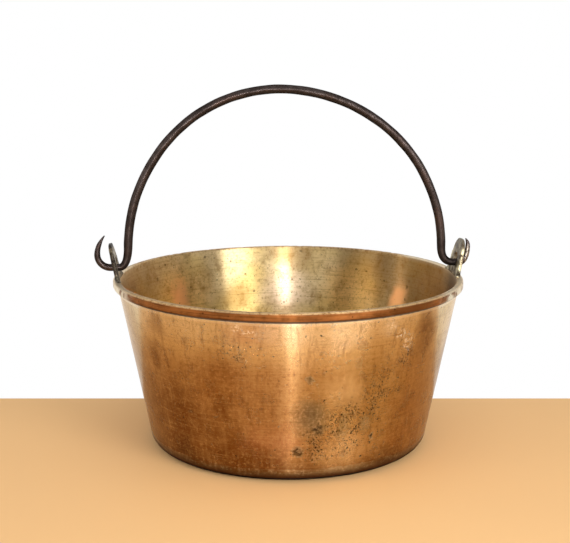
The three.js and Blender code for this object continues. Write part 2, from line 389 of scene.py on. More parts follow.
def ear_plate():
    """The ear as a plain pierced plate, leaning with the wall, with its origin on the lip's top."""
    heights = np.linspace(-EAR_ROOT, EAR_HEIGHT - EAR_TOP_SHORT, EAR_SLICES)
    slices = [ear_slice(h) for h in heights]
    vertices = [point for level in slices for point in level]
    plate = mesh_object("ear_plate", vertices, bar_faces(len(slices), len(slices[0])))
    plate.data.transform(Matrix.Rotation(WALL_LEAN, 4, "Y"))
    hole = hole_cutter()
    cut = plate.modifiers.new("hole", "BOOLEAN")
    cut.object, cut.operation, cut.solver = hole, "DIFFERENCE", "EXACT"
    skin = plate.modifiers.new("skin", "REMESH")
    skin.mode, skin.voxel_size = "VOXEL", EAR_VOXEL
    soften = plate.modifiers.new("soften", "SMOOTH")
    soften.factor, soften.iterations = EAR_SOFTENING
    bpy.context.view_layer.update()
    settled = plate.evaluated_get(bpy.context.evaluated_depsgraph_get())
    mesh = bpy.data.meshes.new_from_object(settled)
    for spare in (plate, hole):
        bpy.data.objects.remove(spare)
    return mesh


def shaped_ear(points, seed):
    """The plate's points moved to the ear's own form: foot bent and flared, head thinner, faces uneven."""
    x, y, z = points.T
    middle = z * WALL_SLOPE
    across = x - middle
    outer = across > 0
    up = np.maximum(z, 0)
    across = across * (1 - HEAD_THINNING * smoothstep(HEAD_THINS_FROM, 1, z / EAR_HEIGHT) * ~outer)
    reach = EAR_WIDTH / 2 + EAR_FOOT_FILLET
    flare = FOOT_FLARE * np.exp(-up / FOOT_FLARE_HEIGHT) * (1 - np.minimum(1, (y / reach) ** 2))
    across = across + flare * outer + ROOT_TUCK * smoothstep(0, -ROOT_TUCK_DEPTH, z) * ~outer
    bent = (EAR_RADIUS - np.sqrt(EAR_RADIUS**2 - y**2)) * np.exp(-up / FOOT_BEND_HEIGHT)
    wobble = [noise.noise(Vector(p) * EAR_WOBBLE_SCALE + Vector((seed, 0, 0))) for p in points]
    across = across + np.array(wobble) * EAR_WOBBLE * np.where(outer, 1, -1)
    return np.stack((middle + across - bent, y, z), axis=1)


def ear_piece(side):
    mesh = ear_plate()
    points = np.empty(len(mesh.vertices) * 3, np.float32)
    mesh.vertices.foreach_get("co", points)
    points = shaped_ear(points.reshape(-1, 3), EAR_SEEDS[side])
    mesh.vertices.foreach_set("co", points.ravel())
    turn = 0 if side == "right" else math.pi
    mesh.transform(Matrix.Rotation(turn, 4, "Z") @ Matrix.Translation((EAR_RADIUS, 0, PAN_HEIGHT)))
    mesh.shade_smooth()
    mesh.name = f"{side}_ear"
    return linked(f"{side}_ear", mesh)


# Bail piece
BAR_WOBBLE = 0.3 * MM
BAR_WOBBLE_SCALE = 28
LIFT_SHIFT = Vector((5, 5, 5))  # parts the noise of the bar's lift from that of its sway
BAR_DRAWN = 0.04  # share by which hammering varies the bar's radius
BAR_DRAWN_SCALE = 90
BAR_FACETS = 8
FACET_DEPTH = 0.025
UNEVEN_FROM = (12 * MM, 50 * MM)  # heights above the axis between which the bar turns fully uneven
LEAST_UNEVEN = 0.35  # share of the hammering that shows below them
BAR_SHRINK = 0.01  # keeps the uneven bar inside its nominal size
BEND_STEPS = 18


def ellipse(centre, radii, start, end):
    """Points of an elliptical arc, angles in radians."""
    steps = max(LEAST_ARC_STEPS, math.ceil(max(radii) * abs(end - start) / BAR_STEP))
    a = np.linspace(start, end, steps + 1)
    return np.stack((centre[0] + radii[0] * np.cos(a), centre[1] + radii[1] * np.sin(a)), axis=1)


def bend(start, corner, end):
    """Points of a bend from start to end that is drawn towards a corner."""
    t = np.linspace(0, 1, BEND_STEPS)[:, None]
    return (1 - t) ** 2 * np.array(start) + 2 * t * (1 - t) * np.array(corner) + t**2 * np.array(end)


def bail_half(end, crown_x):
    """Centre line from the crown to a hook's point as (x, height above the axis), with the bar's radius."""
    size = {name: value * MM for name, value in end.items()}
    arm = PIVOT_RADIUS - size["inset"]
    level_start = arm + size["shoulder_reach"]
    hook_start = PIVOT_RADIUS + size["level"]
    outermost = hook_start + size["hook_reach"]
    arch_reach, arch_rise = arm - crown_x, BAIL_RISE - ARCH_FOOT
    arch_end = math.asin((size["shoulder_rise"] - ARCH_FOOT) / arch_rise)
    foot_x = crown_x + arch_reach * math.cos(arch_end)
    corner_x = foot_x + size["shoulder_rise"] * arch_reach * math.tan(arch_end) / arch_rise
    hook_rise, tip_rise = size["hook_rise"], size["tip_rise"]
    runs = [
        ellipse((crown_x, ARCH_FOOT), (arch_reach, arch_rise), math.pi / 2, arch_end),
        bend((foot_x, size["shoulder_rise"]), (corner_x, 0), (level_start, 0)),
        np.linspace((level_start, 0), (hook_start, 0), BEND_STEPS),
        ellipse((hook_start, hook_rise), (size["hook_reach"], hook_rise), 1.5 * math.pi, 2 * math.pi),
        bend((outermost, hook_rise), (outermost, (hook_rise + tip_rise) / 2),
             (outermost - size["tip_inset"], tip_rise)),
    ]
    line = np.concatenate([runs[0]] + [run[1:] for run in runs[1:]])
    along = np.concatenate(([0], np.cumsum(np.linalg.norm(np.diff(line, axis=0), axis=1))))
    ends = [along[k] for k in np.cumsum([len(run) - 1 for run in runs])]
    thin_from, hook_from, farthest, tip = ends[1:]
    stations = (thin_from - SHOULDER_TAPER, thin_from, hook_from, farthest, (farthest + tip) / 2, tip)
    hook = size["hook_diameter"], size["point_diameter"], TIP_DIAMETER
    diameters = (BAR_DIAMETER, PIVOT_DIAMETER, PIVOT_DIAMETER, *hook)
    return line, np.interp(along, stations, diameters) / 2


def bail_piece():
    right, right_radii = bail_half(ENDS["right"], CROWN_SHIFT)
    left, left_radii = bail_half(ENDS["left"], -CROWN_SHIFT)
    line = np.concatenate((left[:0:-1] * (-1, 1), right))
    radii = np.concatenate((left_radii[:0:-1], right_radii))
    tangents = np.gradient(line, axis=0)
    tangents /= np.linalg.norm(tangents, axis=1)[:, None]
    free = smoothstep(*UNEVEN_FROM, line[:, 1])
    vertices = []
    for (x, z), (tx, tz), radius, loose in zip(line, tangents, radii, free):
        place = Vector((x, 0, z))
        sway = noise.noise(place * BAR_WOBBLE_SCALE) * BAR_WOBBLE * loose
        lift = noise.noise(place * BAR_WOBBLE_SCALE + LIFT_SHIFT) * BAR_WOBBLE * loose
        hammered = LEAST_UNEVEN + (1 - LEAST_UNEVEN) * loose
        for k in range(BAR_SIDES):
            a = -2 * math.pi * k / BAR_SIDES
            around = Vector((math.cos(a), math.sin(a), 0))
            drawn = noise.noise(place * BAR_DRAWN_SCALE + around) * BAR_DRAWN
            facet = FACET_DEPTH * (math.cos(BAR_FACETS * a) - 1) / 2
            r = radius * (1 + (drawn + facet) * hammered - BAR_SHRINK)
            across = r * math.cos(a) + lift
            vertices.append((x - tz * across, r * math.sin(a) + sway, PIVOT_Z + z + tx * across))
    return mesh_object("bail_bar", vertices, bar_faces(len(line), BAR_SIDES))


# Finishes
NOISE_MEAN = 0.5
WAVER_DETAIL = 4.0
PIT_CORE = 0.4  # share of a pit's size, and of a spot's radius, that is at full strength
SPOT_CORE = 0.2
MIX_A, MIX_B, MIX_RESULT = 6, 7, 2  # colour sockets of the mix node


class Nodes:
    """A node tree being put together, with short ways to add its nodes."""

    def __init__(self, tree):
        self.tree = tree

    def feed(self, socket, value):
        if isinstance(value, bpy.types.NodeSocket):
            self.tree.links.new(value, socket)
        else:
            socket.default_value = value

    def feed_all(self, sockets, values):
        for name, value in values.items():
            self.feed(sockets[name], value)

    def node(self, kind, inputs, **settings):
        made = self.tree.nodes.new("ShaderNode" + kind)
        for name, value in settings.items():
            setattr(made, name, value)
        self.feed_all(made.inputs, inputs)
        return made

    def place(self):
        return self.node("TexCoord", {}).outputs["Object"]

    def attribute(self, name):
        return self.node("Attribute", {}, attribute_name=name).outputs["Fac"]

    def split(self, place):
        return self.node("SeparateXYZ", {"Vector": place}).outputs

    def vector(self, operation, a, b, c=(0, 0, 0)):
        return self.node("VectorMath", {0: a, 1: b, 2: c}, operation=operation).outputs[0]

    def noise(self, place, scale, detail, rough):
        inputs = {"Vector": place, "Scale": scale, "Detail": detail, "Roughness": rough}
        return self.node("TexNoise", inputs).outputs["Fac"]

    def drawn_noise(self, place, stretch, scale, detail, rough):
        """Noise drawn out along the axes where stretch is small."""
        return self.noise(self.vector("MULTIPLY", place, stretch), scale, detail, rough)

    def wavering(self, place, scale, reach):
        """The place moved about by up to half of reach, for ragged outlines."""
        inputs = {"Vector": place, "Scale": scale, "Detail": WAVER_DETAIL}
        shift = self.node("TexNoise", inputs).outputs["Color"]
        centred = self.vector("SUBTRACT", shift, (NOISE_MEAN, NOISE_MEAN, NOISE_MEAN))
        return self.vector("MULTIPLY_ADD", centred, (reach, reach, reach), place)

    def math(self, operation, a, b=0.0):
        return self.node("Math", {0: a, 1: b}, operation=operation).outputs[0]

    def times(self, a, b):
        return self.math("MULTIPLY", a, b)

    def plus(self, a, b):
        return self.math("ADD", a, b)

    def less(self, a, b):
        return self.math("SUBTRACT", a, b)

    def total(self, start, parts):
        """start plus the (value, weight) parts, each value times its weight."""
        for value, weight in parts:
            start = self.plus(start, self.times(value, weight))
        return start

    def most(self, values):
        result = values[0]
        for value in values[1:]:
            result = self.math("MAXIMUM", result, value)
        return result

    def band(self, value, low, high, full=1.0):
        """Smooth step from 0 at low to full at high."""
        inputs = {"Value": value, "From Min": low, "From Max": high, "To Max": full}
        return self.node("MapRange", inputs, interpolation_type="SMOOTHSTEP").outputs["Result"]

    def blend(self, factor, a, b):
        mix = self.node("Mix", {"Factor": factor, MIX_A: a, MIX_B: b}, data_type="RGBA")
        return mix.outputs[MIX_RESULT]

    def ramp(self, value, stops):
        """A colour that goes with a value through stops of (value, colour)."""
        low, high = stops[0][0], stops[-1][0]
        share = self.node("MapRange", {"Value": value, "From Min": low, "From Max": high})
        made = self.node("ValToRGB", {"Fac": share.outputs["Result"]})
        points = made.color_ramp.elements
        for level, shade in stops[1:-1]:
            points.new((level - low) / (high - low)).color = shade
        points[0].color, points[-1].color = stops[0][1], stops[-1][1]
        return made.outputs["Color"]

    def pits(self, place, share, scale, size):
        """Scattered pits, one in a share of the cells of a given scale. The share may vary by place."""
        cells = self.node("TexVoronoi", {"Vector": place, "Scale": scale})
        draw = self.node("SeparateColor", {"Color": cells.outputs["Color"]}).outputs[0]
        chosen = self.math("LESS_THAN", draw, share)
        return self.times(chosen, self.band(cells.outputs["Distance"], size, size * PIT_CORE))

    def spot(self, place, centre, radius, tall=1.0, strength=1.0):
        """A soft spot round a point; tall draws it out upwards."""
        apart = self.vector("SUBTRACT", place, centre)
        apart = self.vector("MULTIPLY", apart, (1, 1, 1 / tall))
        length = self.node("VectorMath", {0: apart}, operation="LENGTH").outputs["Value"]
        return self.band(length, radius, radius * SPOT_CORE, strength)

    def bump(self, height, distance, strength, normal=None):
        inputs = {"Height": height, "Distance": distance, "Strength": strength}
        if normal is not None:
            inputs["Normal"] = normal
        return self.node("Bump", inputs).outputs["Normal"]


def new_material(name):
    """An empty finish: its material, its nodes and its shader."""
    material = bpy.data.materials.new(name)
    material.use_nodes = True
    return material, Nodes(material.node_tree), material.node_tree.nodes["Principled BSDF"].inputs


def colour(red, green, blue):
    """A colour given in display values from 0 to 255."""
    def linear(v):
        v /= 255
        return v / 12.92 if v <= 0.04045 else ((v + 0.055) / 1.055) ** 2.4
    return (linear(red), linear(green), linear(blue), 1.0)


def wall_point(angle, height, inner=False):
    """A point on the wall, by its angle from the front in degrees, to the right, and its height in mm."""
    r = inner_wall_radius(height * MM) if inner else BASE_RADIUS + WALL_SLOPE * height * MM
    a = math.radians(angle)
    return (r * math.sin(a), -r * math.cos(a), height * MM)


# Tones of the outer wall by height in mm: dark above the foot, brown, and pale gold under the lip
# Patina, and partly painted light: the pale gold under the lip is partly a painted highlight, the step from
# 94 to 112 mm a painted reflection of a floor edge, and the darkening downwards partly painted shade
WALL_TONES_AND_PAINTED_LIGHT = [
    (0, colour(92, 58, 24)),
    (10, colour(120, 84, 46)),
    (24, colour(160, 119, 71)),
    (60, colour(166, 124, 77)),
    (94, colour(178, 138, 90)),
    (112, colour(212, 178, 128)),
    (130, colour(230, 206, 166)),
]
COPPER = colour(190, 132, 96)
BROWN = colour(140, 92, 42)
DEEP_BROWN = colour(112, 68, 22)
PALE_GOLD = colour(204, 170, 120)
OLIVE_GOLD = colour(176, 144, 86)
# pale colour of painted highlights and of painted reflections of the white behind
PAINTED_PALE_REFLECTION = colour(234, 214, 184)
STAIN = colour(40, 22, 5)
GREY_STAIN = colour(104, 88, 60)
# dark foot: soot, and partly painted shade near the floor
FOOT_SOOT_AND_SHADE = colour(58, 29, 5)
# painted contact shade along the lowest edge of the base
PAINTED_CONTACT_SHADE = colour(22, 12, 5)
# worn bare metal, also used for a painted highlight line
WORN_AND_HIGHLIGHT = colour(255, 246, 230)
INNER_PALE = colour(232, 211, 164)
INNER_OLIVE = colour(220, 192, 128)
TARNISH_AND_SHADE = colour(138, 97, 38)
INNER_WARM_REFLECTION = colour(244, 192, 112)
INNER_PAINTED_HIGHLIGHT = colour(236, 214, 190)
INNER_COPPER_REFLECTION = colour(250, 188, 128)
INNER_SPOT = colour(62, 46, 22)
# painted dark reflection of the right ear and hook on the inner wall
DARK_EAR_REFLECTION = colour(76, 60, 44)
LIP_COPPER = colour(148, 93, 48)
LIP_BROWN = colour(96, 57, 25)
# pale colour of the lip's sides, a painted reflection of the white behind
LIP_SIDE_REFLECTION = colour(240, 230, 206)
LIP_TOP_WORN_AND_HIGHLIGHT = colour(202, 172, 128)
LIP_TOP_DARK = colour(142, 106, 66)
# dirt and painted shade for the crease under the lip and the lip's lower round
CREASE_DIRT_AND_SHADE = colour(40, 22, 9)
EDGE_TINT = (1.0, 0.9, 0.78, 1.0)  # of what shows in the metal at a glancing angle

# Shades of the outer wall: angle from the front, height mm, radius mm, how drawn out upwards,
# strength, colour
SHADES_AND_PAINTED_LIGHT = [
    (20, 66, 64, 1.2, 0.6, OLIVE_GOLD),
    # Dark browns low on the left: patina, partly a painted reflection of a warm brown floor
    (-50, 40, 58, 1.0, 0.85, DEEP_BROWN),
    (-30, 84, 36, 1.0, 0.6, BROWN),
    (-56, 94, 16, 1.4, 0.6, DEEP_BROWN),
    (-24, 24, 40, 0.7, 0.7, DEEP_BROWN),
    (-27, 58, 18, 1.0, 0.5, DEEP_BROWN),
    (-12, 34, 30, 1.0, 0.4, COPPER),
    (-14, 18, 22, 0.8, 0.6, DEEP_BROWN),
    (-48, 16, 24, 0.8, 0.5, FOOT_SOOT_AND_SHADE),
    (37, 14, 24, 0.8, 0.5, FOOT_SOOT_AND_SHADE),
    # Dark brown near the sides under the lip: painted dark reflection
    (43, 126, 16, 1.2, 0.5, DEEP_BROWN),
    (-52, 126, 15, 1.4, 0.5, DEEP_BROWN),
    (-17, 128, 30, 0.7, 0.45, COPPER),
    (14, 80, 26, 1.0, 0.6, PALE_GOLD),
    (17, 28, 32, 0.8, 0.8, PALE_GOLD),
    (30, 118, 20, 1.4, 0.4, PALE_GOLD),
    # Pale spots under the lip: painted highlights
    (-13, 127, 13, 1.0, 0.5, PAINTED_PALE_REFLECTION),
    (27, 127, 14, 1.0, 0.6, PAINTED_PALE_REFLECTION),
    (11, 122, 18, 1.0, 0.4, PAINTED_PALE_REFLECTION),
    # A dark band beside the right side strip, then the pale side strips: painted reflections of a dim room
    # and of the white behind
    (46, 114, 22, 1.5, 0.7, DEEP_BROWN),
    (66, 110, 26, 1.2, 0.6, PAINTED_PALE_REFLECTION),
    (-78, 110, 26, 1.2, 0.6, PAINTED_PALE_REFLECTION),
    (44, 40, 30, 1.2, 0.3, BROWN),
    # Browns at the sides: painted dark reflection at a glancing angle
    (-72, 112, 34, 1.6, 0.5, BROWN),
    (-72, 50, 40, 1.5, 0.6, DEEP_BROWN),
    (70, 74, 34, 1.3, 0.5, BROWN),
    (70, 30, 34, 1.0, 0.5, DEEP_BROWN),
    (110, 60, 70, 1.4, 0.6, BROWN),
    (170, 70, 80, 1.1, 0.4, PALE_GOLD),
    (-130, 50, 70, 1.2, 0.7, DEEP_BROWN),
    (14, 66, 15, 1.1, 0.2, GREY_STAIN),
    (23, 52, 10, 1.5, 0.25, GREY_STAIN),
    (3, 58, 16, 1.1, 0.5, GREY_STAIN),
]
# Stains there: angle, height, radius, how drawn out upwards, strength
STAINS = [
    (1.9, 89.5, 5, 1.0, 0.8),
    (5.3, 46.5, 8, 0.8, 1.0),
    (2.0, 57.0, 20, 1.1, 0.5),
    (-1.7, 27.5, 6, 1.1, 1.0),
    (14.5, 46.0, 8, 2.2, 0.25),
    (23.0, 48.0, 8, 1.3, 0.3),
    (26.3, 35.0, 2.6, 1.6, 1.0),
    (46.6, 97.0, 1.0, 10.0, 1.0),
    (-31.5, 53.6, 3.5, 0.6, 0.5),
    (-42.0, 53.5, 3.0, 0.6, 0.5),
    (150.0, 60.0, 9, 1.0, 0.6),
    (-150.0, 40.0, 7, 1.2, 0.6),
]
# Pitted and worn places there: angle, height, radius, how drawn out upwards
PITTED = [
    (17, 47, 46, 1.0),
    (9, 36, 34, 0.9),
    (29, 90, 13, 2.6),
    (27, 68, 36, 1.3),
    (-22, 110, 24, 0.9),
    (36, 104, 20, 1.5),
    (160, 45, 50, 1.0),
    (-120, 35, 40, 0.9),
]
WORN_PATCHES = [
    (-21, 131, 7, 0.7),
    (-17, 127, 8, 0.6),
    (33, 120, 8, 0.8),
    (28, 128, 7, 0.8),
    (37, 112, 8, 1.4),
]
# Shades of the inner wall in the same way, with copper glows and a dark patch under the right ear over
# them, both painted reflections
INNER_SHADES = [
    # Darker sides and darker places round the middle of the back: tarnish, partly painted shade of a dim
    # reflected room
    (110, 120, 96, 1.0, 0.8, TARNISH_AND_SHADE),
    (-112, 120, 80, 1.0, 0.6, TARNISH_AND_SHADE),
    (142, 136, 44, 1.0, 0.55, TARNISH_AND_SHADE),
    (-148, 118, 24, 1.4, 0.25, TARNISH_AND_SHADE),
    (0, 90, 110, 0.8, 0.6, TARNISH_AND_SHADE),
    (178, 142, 20, 1.0, 0.5, TARNISH_AND_SHADE),
    (-162, 98, 26, 0.9, 0.5, TARNISH_AND_SHADE),
    (176, 86, 24, 0.8, 0.4, TARNISH_AND_SHADE),
    (171, 134, 24, 1.2, 0.5, TARNISH_AND_SHADE),
    # warm patches: painted reflection of light off the opposite inner wall
    (148, 104, 44, 1.0, 0.6, INNER_WARM_REFLECTION),
    (-139, 102, 44, 1.0, 0.6, INNER_WARM_REFLECTION),
    # pale spot at the back: painted highlight round the central reflection
    (176, 102, 36, 0.9, 0.7, INNER_PAINTED_HIGHLIGHT),
]
# narrow copper glows: painted reflection of light off the opposite inner wall
PAINTED_COPPER_GLOWS = [
    (125, 102, 15, 1.6, 0.9, INNER_COPPER_REFLECTION),
    (-137, 104, 15, 1.6, 0.9, INNER_COPPER_REFLECTION),
]
# dark patch under the right ear: painted reflection of the ear and hook
EAR_REFLECTION_PATCH = [(86, 140, 34, 0.8, 0.8, DARK_EAR_REFLECTION)]
# Dark spots there: angle, height, radius
INNER_SPOTS = [
    (-125.8, 126, 2.2),
    (-151, 138.6, 2.0),
    (-154.9, 136.7, 1.6),
    (169.8, 140, 2.0),
    (121.3, 116.5, 2.4),
]
# A browner stretch of the lip's band
LIP_SHADES = [(34, 141, 36, 1.0, 0.85, LIP_BROWN)]

# Noise in the pan's metal: how it is drawn out along the axes, scale, detail, roughness
METAL_NOISE = {
    "broad": ((1, 1, 1), 13, 3, 0.5),
    "mottle": ((1, 1, 1), 75, 8, 0.65),
    "grain": ((1, 1, 1), 420, 6, 0.7),
    "streak": ((1, 1, 0.06), 230, 4, 0.6),
    "turned": ((0.02, 0.02, 1), 900, 3, 0.7),
    "brushed": ((0.04, 0.04, 1), 900, 3, 0.6),
}


def marked(f, place, marks, inner=False):
    """How far marks of a wall cover it; one without a strength covers it fully in the middle."""
    return f.most([f.spot(place, wall_point(a, z, inner), r * MM, *form) for a, z, r, *form in marks])


def shaded(f, base, place, shades, inner=False):
    """A colour with soft shades of a wall laid over it in turn."""
    for *mark, shade in shades:
        base = f.blend(marked(f, place, [mark], inner), base, shade)
    return base


def mottled(f, base, fields, mottles):
    """A colour with others showing through, by the strengths of noises between their limits."""
    for strengths, limits, shade in mottles:
        for name, strength in strengths.items():
            base = f.blend(f.band(fields[name], *limits, strength), base, shade)
    return base


# Outer wall. Limits of a noise and heights are where a mark sets in and is full; covers add its strength.
OUTER_SOFT = (40.0, 30 * MM)  # scale and reach by which the outlines of shades waver
OUTER_RAGGED = (220.0, 7 * MM)  # and those of stains and pits
TONE_WANDER = 24 * MM  # how far the tones shift up and down
# Mottling: strength of each noise, limits, colour
MOTTLES = [
    ({"mottle": 0.45, "streak": 0.45, "brushed": 0.3, "grain": 0.65}, (0.5, 0.75), DEEP_BROWN),
    ({"mottle": 0.28, "streak": 0.2, "brushed": 0.22, "grain": 0.55}, (0.5, 0.28), PALE_GOLD),
]
STAIN_LIMITS = (0.36, 0.56)  # the grain breaks up the stains
LEAST_STAIN = 0.5  # share left of a stain
SPECK_NOISE = (700, 7, 0.75)  # scale, detail, roughness
SPECK_LIMITS = (0.65, 0.7)
SPECKS_FROM_PITTING = 0.11  # what pitted places and clumps add to the specks
SPECKS_FROM_CLUMPS = 0.3
PIT_SHARE = 0.02  # share of cells that have a pit, and what pitted places add to it
PIT_SHARE_ADDED = 0.14
SMALL_PITS = (420, 0.32)  # scale of the cells, and size of a pit in its cell
LARGE_PITS = (210, 0.24)
LARGE_PIT_SHARE = 0.3  # of the share of the small ones
SCRATCHES = [((0.05, 0.05, 1), 0.1), ((1, 1, 0.05), 0.12)]  # how drawn out, share of cells
SCRATCH_CELLS = (420, 0.16)
SCRATCH_STRENGTH = 0.7
WORN_COVER = (0.48, 0.58, 0.9)
FOOT_WANDER = 8 * MM
FOOT_HEIGHTS = (17 * MM, 7 * MM)
CONTACT_SHADE_HEIGHTS = (5 * MM, 2.5 * MM)


def outer_dirt(f, place, fields, soft, ragged):
    """How far stains, pits and scratches darken the outer wall, and how far the pits alone do."""
    patchy = f.plus(f.band(fields["grain"], *STAIN_LIMITS, 1 - LEAST_STAIN), LEAST_STAIN)
    stains = f.times(marked(f, ragged, STAINS), patchy)
    pitted = marked(f, soft, PITTED)
    clumps = f.less(fields["mottle"], NOISE_MEAN)
    specks = f.noise(place, *SPECK_NOISE)
    specks = f.total(specks, [(pitted, SPECKS_FROM_PITTING), (clumps, SPECKS_FROM_CLUMPS)])
    share = f.plus(f.times(pitted, PIT_SHARE_ADDED), PIT_SHARE)
    pits = f.most([
        f.band(specks, *SPECK_LIMITS),
        f.pits(ragged, share, *SMALL_PITS),
        f.pits(ragged, f.times(share, LARGE_PIT_SHARE), *LARGE_PITS),
    ])
    scratches = f.most([
        f.pits(f.vector("MULTIPLY", ragged, drawn), cells, *SCRATCH_CELLS) for drawn, cells in SCRATCHES
    ])
    return f.most([stains, pits, f.times(scratches, SCRATCH_STRENGTH)]), pits


def outer_colour(f, place, fields):
    """The outer wall's colour, and how far dirt, the dark foot of soot and painted shade, and pits cover
    it.
    """
    soft = f.wavering(place, *OUTER_SOFT)
    ragged = f.wavering(place, *OUTER_RAGGED)
    wander = f.times(f.less(fields["broad"], NOISE_MEAN), TONE_WANDER)
    height = f.plus(fields["height"], wander)
    # tones by height: patina with painted highlight, reflection and shade in them
    base = f.ramp(height, [(level * MM, tone) for level, tone in WALL_TONES_AND_PAINTED_LIGHT])
    # shades of patina, with painted highlights and reflections among them
    base = shaded(f, base, soft, SHADES_AND_PAINTED_LIGHT)
    base = mottled(f, base, fields, MOTTLES)
    dirt, pits = outer_dirt(f, place, fields, soft, ragged)
    base = f.blend(dirt, base, STAIN)
    worn = f.times(marked(f, ragged, WORN_PATCHES), f.band(fields["grain"], *WORN_COVER))
    base = f.blend(worn, base, WORN_AND_HIGHLIGHT)
    # the foot darkens towards the base: soot, and partly painted shade near the floor
    foot = f.plus(fields["height"], f.times(fields["mottle"], FOOT_WANDER))
    foot = f.band(foot, *FOOT_HEIGHTS)
    base = f.blend(foot, base, FOOT_SOOT_AND_SHADE)
    # near-black painted shade at the lowest edge, where the pan meets the floor
    base = f.blend(f.band(fields["height"], *CONTACT_SHADE_HEIGHTS), base, PAINTED_CONTACT_SHADE)
    return base, dirt, foot, pits


# Inside
INNER_SOFT = (60.0, 16 * MM)
INNER_RAGGED = (300.0, 3 * MM)
OLIVE_LIMITS = (0.38, 0.62)
INNER_MOTTLES = [({"mottle": 0.6, "turned": 0.4, "grain": 0.65}, (0.48, 0.72), TARNISH_AND_SHADE)]
INNER_PITS = [(0.2, 130, 0.2), (0.1, 380, 0.3)]  # share of cells, their scale, size of a pit
INNER_SPOT_STRENGTH = 0.65


def inner_colour(f, place, fields):
    """The inside's colour, and its dark spots."""
    soft = f.wavering(place, *INNER_SOFT)
    ragged = f.wavering(place, *INNER_RAGGED)
    base = f.blend(f.band(fields["broad"], *OLIVE_LIMITS), INNER_PALE, INNER_OLIVE)
    base = shaded(f, base, soft, INNER_SHADES, True)
    base = mottled(f, base, fields, INNER_MOTTLES)
    # the painted copper glows of reflected light
    base = shaded(f, base, soft, PAINTED_COPPER_GLOWS, True)
    pits = [f.pits(ragged, *cells) for cells in INNER_PITS]
    spots = f.most(pits + [marked(f, ragged, INNER_SPOTS, True)])
    base = f.blend(f.times(spots, INNER_SPOT_STRENGTH), base, INNER_SPOT)
    # the painted dark reflection of the right ear goes on last
    return shaded(f, base, soft, EAR_REFLECTION_PATCH, True), spots


# Lip
LEVEL_WANDER = 0.8 * MM
PAINTED_HIGHLIGHT_LINE = (LIP_UNDERSIDE - 4.2 * MM, LIP_UNDERSIDE - 3.0 * MM, 0.3)
CREASE_HEIGHTS = (LIP_UNDERSIDE - 1.8 * MM, LIP_UNDERSIDE - 1.0 * MM)
CREASE_STRENGTH = 0.9
SHADED_COVER = (LIP_UNDERSIDE + 1.8 * MM, LIP_UNDERSIDE + 0.6 * MM, 0.85)
LIP_BROWN_LIMITS = (0.85, 1.3)  # of two noises together
LIP_MIDDLE = -10 * MM
PALE_DISTANCES = (120 * MM, 134 * MM)  # across from there, the lip turns pale towards the ears, a painted reflection of the white behind
PALE_LIMITS = (0.62, 0.45)
PALE_TOP_STRENGTH = 0.6
LIP_TOP_LIMITS = (0.45, 0.65)
LIP_PIT_SHARE = 0.14
LIP_PITS = (260, 0.25)
LIP_PIT_STRENGTH = 0.8


def lip_colour(f, base, place, fields, outside, lip, lip_top):
    """The pan's colour with its lip laid over it, and the lip's pale sides of painted reflection, its
    crease of dirt and painted shade, and its pits.
    """
    level = f.plus(fields["height"], f.times(fields["grain"], LEVEL_WANDER))
    below = f.less(outside, f.times(outside, lip))
    # a thin painted highlight along the wall a few mm under the lip
    base = f.blend(f.times(f.band(level, *PAINTED_HIGHLIGHT_LINE), below), base, WORN_AND_HIGHLIGHT)

    browned = f.band(f.plus(fields["mottle"], fields["turned"]), *LIP_BROWN_LIMITS)
    band = f.blend(browned, LIP_COPPER, LIP_BROWN)
    band = shaded(f, band, place, LIP_SHADES)
    from_middle = f.math("ABSOLUTE", f.less(f.split(place)["X"], LIP_MIDDLE))
    side_reflection = f.band(from_middle, *PALE_DISTANCES)
    band = f.blend(f.times(side_reflection, f.band(fields["mottle"], *PALE_LIMITS)), band, LIP_SIDE_REFLECTION)
    # the lip's lower round darkened as painted shade
    band = f.blend(f.band(level, *SHADED_COVER), band, CREASE_DIRT_AND_SHADE)
    base = f.blend(lip, base, band)

    # the top edge: worn, and paler partly as a painted reflection of light from above
    top = f.blend(f.band(fields["grain"], *LIP_TOP_LIMITS), LIP_TOP_WORN_AND_HIGHLIGHT, LIP_TOP_DARK)
    top = f.blend(f.times(side_reflection, PALE_TOP_STRENGTH), top, LIP_SIDE_REFLECTION)
    base = f.blend(lip_top, base, top)
    pits = f.pits(place, f.times(f.most([lip, lip_top]), LIP_PIT_SHARE), *LIP_PITS)
    base = f.blend(f.times(pits, LIP_PIT_STRENGTH), base, STAIN)
    # the crease under the lip: dirt and painted shade
    crease_dirt_and_shade = f.times(f.band(level, *CREASE_HEIGHTS), below)
    base = f.blend(f.times(crease_dirt_and_shade, CREASE_STRENGTH), base, CREASE_DIRT_AND_SHADE)
    return base, side_reflection, crease_dirt_and_shade, pits


# Metal of the pan
DULL_BAND = 0.5  # how far the lip counts as covered where it isn't pale
COVERING = 0.9  # what a full cover takes from the metal's look
BRONZE_ROUGHNESS = 0.25
ROUGH_MOTTLE = (0.4, 0.8, 0.05)  # limits of the mottling, and what it adds to the roughness
ROUGH_COVERED = 0.12  # what a cover and each zone add
ROUGH_FOOT = 0.45
ROUGH_LIP = 0.14
ROUGH_INSIDE = 0.13
INNER_GRAIN_HEIGHT = 0.4  # beside the depth of a pit
PIT_BUMP = (0.06 * MM, 0.6)  # depth and strength
TURNED_BUMP = (0.05 * MM, 0.3)


